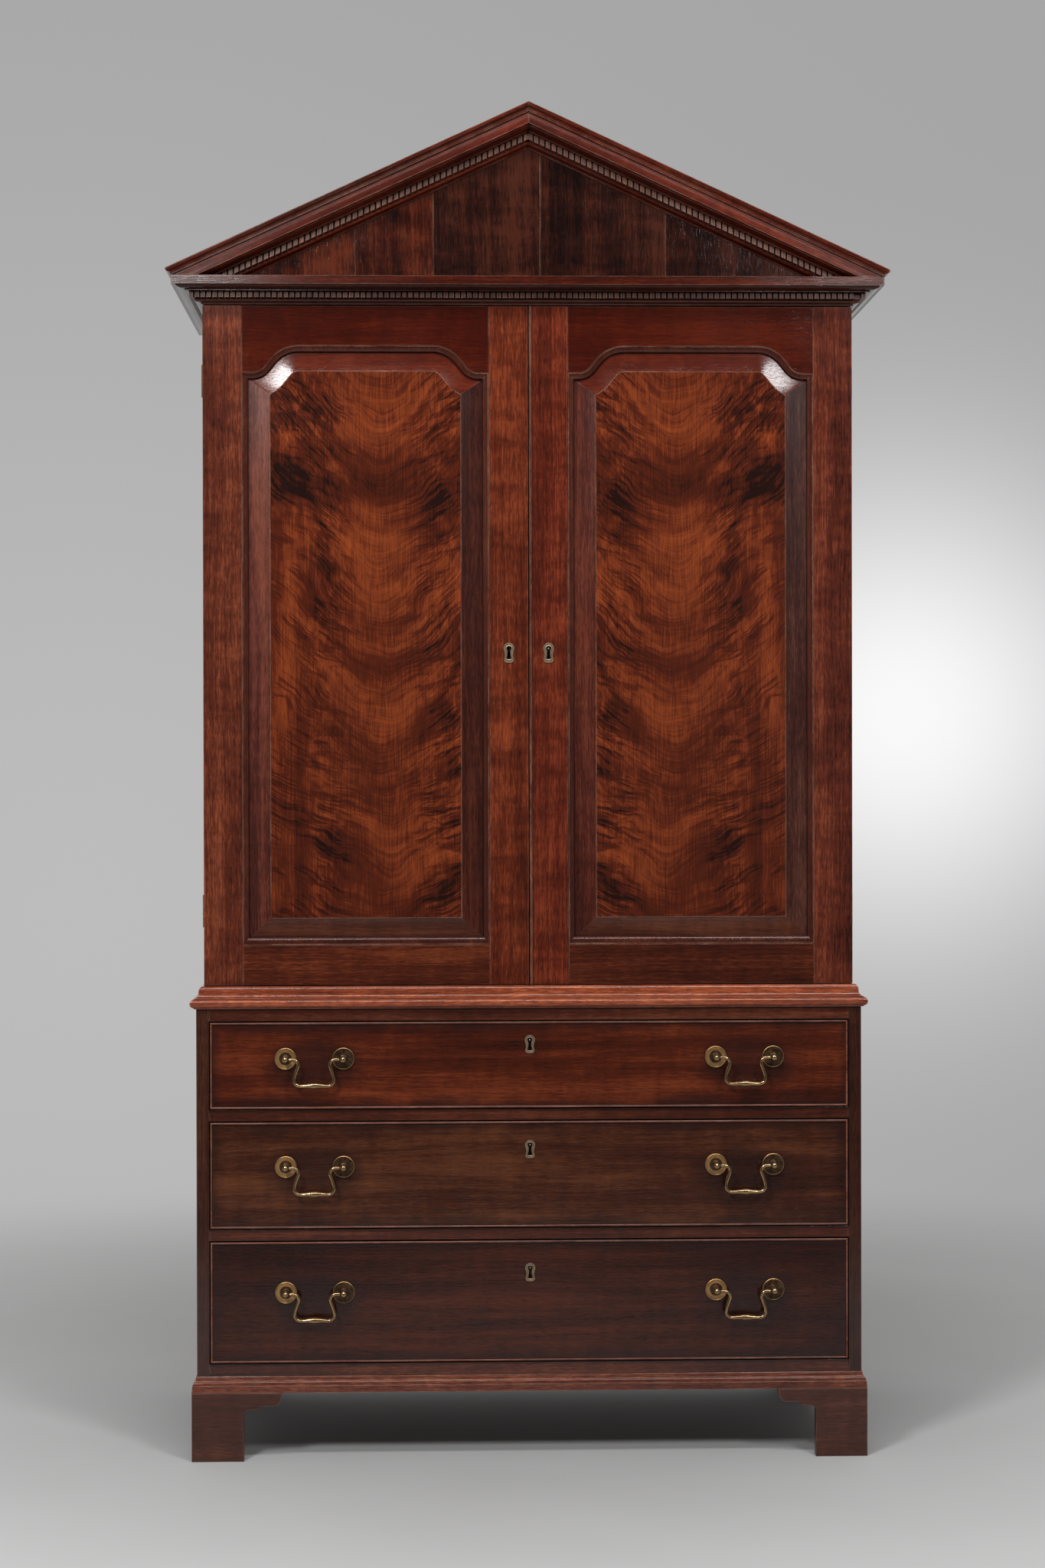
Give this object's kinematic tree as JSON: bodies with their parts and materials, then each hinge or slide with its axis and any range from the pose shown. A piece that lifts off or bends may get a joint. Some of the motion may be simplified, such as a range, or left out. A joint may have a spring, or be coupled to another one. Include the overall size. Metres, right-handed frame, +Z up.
{
  "type": "linen press",
  "caption": "Mahogany linen press with a triangular dentil pediment, fielded panel doors over cock-beaded drawers with swan-neck handles, on bracket feet",
  "frame": {"origin": "on the floor, under the middle of the object's box", "axes": "+Z up, the front of the press faces -Y, +X to its right as the front is looked at"},
  "size_m": [1.246, 0.606, 2.3413],
  "materials": {
    "case_mahogany": "dark red-brown polished mahogany, plain upright grain",
    "foot_mahogany": "brown polished mahogany, rubbed edges",
    "moulding_mahogany": "lighter red-brown polished mahogany, pale worn arrises",
    "door_frame_mahogany": "red-brown polished mahogany with fine upright flecks",
    "door_rail_mahogany": "dark red polished mahogany, grain along the rail",
    "flame_mahogany": "polished flame-figured mahogany, orange and near-black",
    "drawer_mahogany": "dark polished mahogany with lighter orange figure",
    "tympanum_mahogany": "dull brown mahogany boards, upright grain, shrinkage cracks",
    "lining_oak": "unpolished dry oak",
    "antique_brass": "dulled golden brass, dark in its hollows"
  },
  "bodies": {
    "root": {"base_moulding": "moulding_mahogany", "cornice_dentils": "moulding_mahogany", "cornice_front": "moulding_mahogany", "cornice_side_left": "moulding_mahogany", "cornice_side_right": "moulding_mahogany", "drawer_divider_lower": "case_mahogany", "drawer_divider_upper": "case_mahogany", "foot_front_left": "foot_mahogany", "foot_front_right": "foot_mahogany", "foot_rear_left": "foot_mahogany", "foot_rear_right": "foot_mahogany", "lower_back": "lining_oak", "lower_bottom": "case_mahogany", "lower_side_left": "case_mahogany", "lower_side_right": "case_mahogany", "lower_top": "case_mahogany", "raking_cornice_left": "moulding_mahogany", "raking_cornice_right": "moulding_mahogany", "raking_dentils_left": "moulding_mahogany", "raking_dentils_right": "moulding_mahogany", "shelf_1": "lining_oak", "shelf_2": "lining_oak", "shelf_3": "lining_oak", "tympanum": "tympanum_mahogany", "upper_back": "lining_oak", "upper_bottom": "lining_oak", "upper_side_left": "case_mahogany", "upper_side_right": "case_mahogany", "upper_top": "case_mahogany", "waist_moulding": "moulding_mahogany"},
    "left_door": {"left_door_bottom_rail": "door_frame_mahogany", "left_door_escutcheon": "antique_brass", "left_door_hinge_stile": "door_frame_mahogany", "left_door_meeting_stile": "door_frame_mahogany", "left_door_panel": "flame_mahogany", "left_door_panel_moulding": "door_rail_mahogany", "left_door_top_rail": "door_rail_mahogany"},
    "right_door": {"right_door_astragal": "door_frame_mahogany", "right_door_bottom_rail": "door_frame_mahogany", "right_door_hinge_stile": "door_frame_mahogany", "right_door_lock": "antique_brass", "right_door_meeting_stile": "door_frame_mahogany", "right_door_panel": "flame_mahogany", "right_door_panel_moulding": "door_rail_mahogany", "right_door_top_rail": "door_rail_mahogany"},
    "drawer_1": {"drawer_1_box": "lining_oak", "drawer_1_front": "drawer_mahogany", "drawer_1_lock": "antique_brass"},
    "drawer_1_handle_left": {"drawer_1_bail_left": "antique_brass"},
    "drawer_1_handle_right": {"drawer_1_bail_right": "antique_brass"},
    "drawer_2": {"drawer_2_box": "lining_oak", "drawer_2_front": "drawer_mahogany", "drawer_2_lock": "antique_brass"},
    "drawer_2_handle_left": {"drawer_2_bail_left": "antique_brass"},
    "drawer_2_handle_right": {"drawer_2_bail_right": "antique_brass"},
    "drawer_3": {"drawer_3_box": "lining_oak", "drawer_3_front": "drawer_mahogany", "drawer_3_lock": "antique_brass"},
    "drawer_3_handle_left": {"drawer_3_bail_left": "antique_brass"},
    "drawer_3_handle_right": {"drawer_3_bail_right": "antique_brass"}
  },
  "joints": [
    {"name": "left_door_hinge", "type": "hinge", "parent": "root", "child": "left_door", "pos_m": [-0.564, -0.2195, 1.41025], "axis": [0, 0, -1], "range_deg": [0, 175]},
    {"name": "right_door_hinge", "type": "hinge", "parent": "root", "child": "right_door", "pos_m": [0.564, -0.2195, 1.41025], "axis": [0, 0, 1], "range_deg": [0, 175]},
    {"name": "drawer_1_slide", "type": "slide", "parent": "root", "child": "drawer_1", "axis": [0, -1, 0], "range_m": [0, 0.4]},
    {"name": "drawer_2_slide", "type": "slide", "parent": "root", "child": "drawer_2", "axis": [0, -1, 0], "range_m": [0, 0.4]},
    {"name": "drawer_3_slide", "type": "slide", "parent": "root", "child": "drawer_3", "axis": [0, -1, 0], "range_m": [0, 0.4]},
    {"name": "drawer_1_handle_left_swing", "type": "hinge", "parent": "drawer_1", "child": "drawer_1_handle_left", "pos_m": [-0.373, -0.278, 0.6955], "axis": [-1, 0, 0], "range_deg": [-15, 110]},
    {"name": "drawer_1_handle_right_swing", "type": "hinge", "parent": "drawer_1", "child": "drawer_1_handle_right", "pos_m": [0.373, -0.278, 0.6955], "axis": [-1, 0, 0], "range_deg": [-15, 110]},
    {"name": "drawer_2_handle_left_swing", "type": "hinge", "parent": "drawer_2", "child": "drawer_2_handle_left", "pos_m": [-0.373, -0.278, 0.50822], "axis": [-1, 0, 0], "range_deg": [-15, 110]},
    {"name": "drawer_2_handle_right_swing", "type": "hinge", "parent": "drawer_2", "child": "drawer_2_handle_right", "pos_m": [0.373, -0.278, 0.50822], "axis": [-1, 0, 0], "range_deg": [-15, 110]},
    {"name": "drawer_3_handle_left_swing", "type": "hinge", "parent": "drawer_3", "child": "drawer_3_handle_left", "pos_m": [-0.373, -0.278, 0.29051], "axis": [-1, 0, 0], "range_deg": [-15, 110]},
    {"name": "drawer_3_handle_right_swing", "type": "hinge", "parent": "drawer_3", "child": "drawer_3_handle_right", "pos_m": [0.373, -0.278, 0.29051], "axis": [-1, 0, 0], "range_deg": [-15, 110]}
  ]
}
